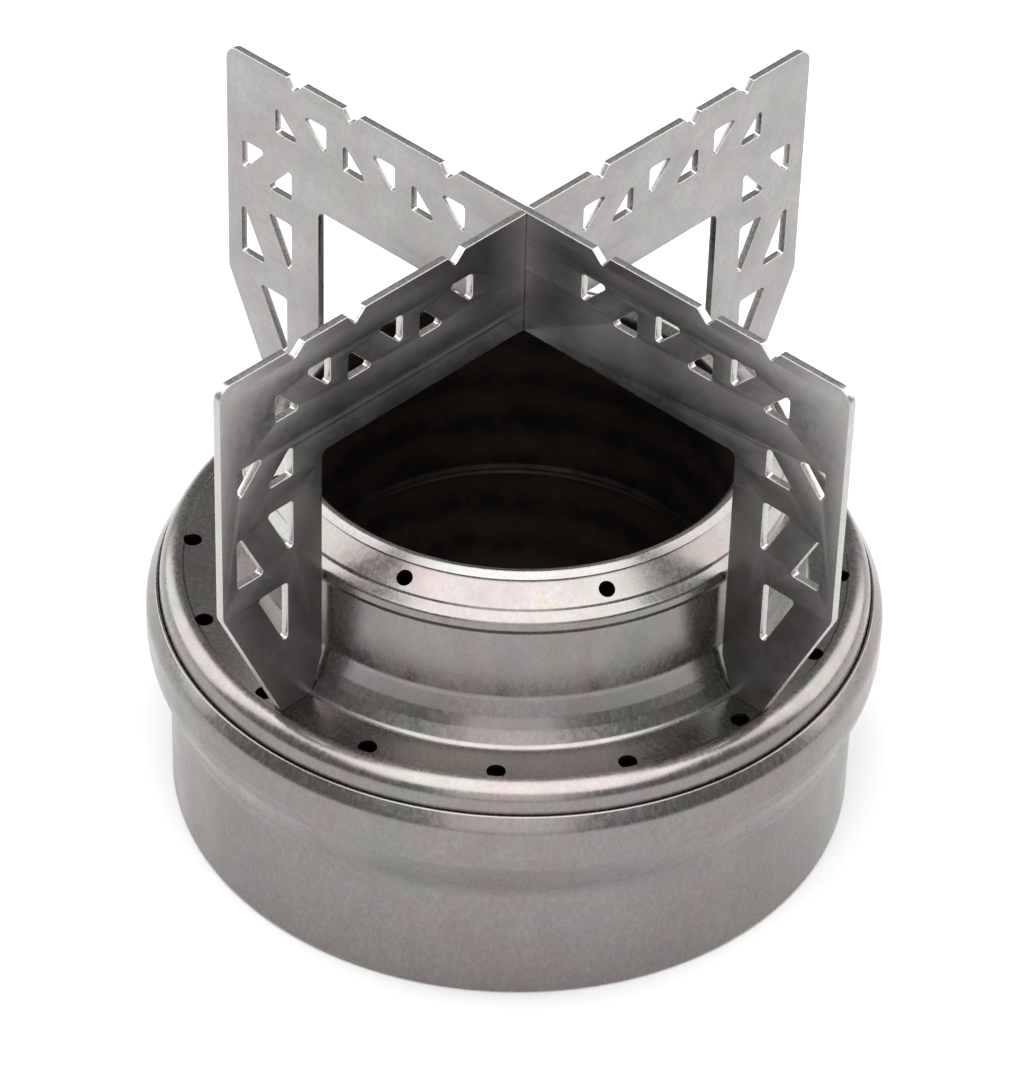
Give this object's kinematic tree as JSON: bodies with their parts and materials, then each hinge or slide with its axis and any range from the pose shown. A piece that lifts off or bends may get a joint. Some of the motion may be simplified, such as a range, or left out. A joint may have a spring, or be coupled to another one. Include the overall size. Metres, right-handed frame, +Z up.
{
  "type": "alcohol stove",
  "caption": "Open spirit burner of pressed titanium with two rings of flame jets, carrying a pot stand of crossed slotted plates.",
  "frame": {"origin": "centre of the burner's underside, on the surface that it stands on", "axes": "+Z up along the burner's axis; the upper stand plate lies along X, the lower stand plate along Y"},
  "size_m": [0.078, 0.078, 0.0663],
  "materials": {
    "burner_titanium": "satin blasted titanium",
    "sooted_titanium": "heat-darkened titanium",
    "plate_titanium": "satin rolled titanium sheet"
  },
  "bodies": {
    "burner": {"base_cup": "burner_titanium", "upper_shell": "burner_titanium", "inner_wall": "sooted_titanium"},
    "stand_lower": {"stand_plate_lower": "plate_titanium"},
    "stand_upper": {"stand_plate_upper": "plate_titanium"}
  },
  "joints": [
    {"name": "stand_lift", "type": "slide", "parent": "burner", "child": "stand_lower", "axis": [0, 0, 1], "range_m": [0, 0.03]},
    {"name": "plate_lift", "type": "slide", "parent": "stand_lower", "child": "stand_upper", "axis": [0, 0, 1], "range_m": [0, 0.045]}
  ]
}
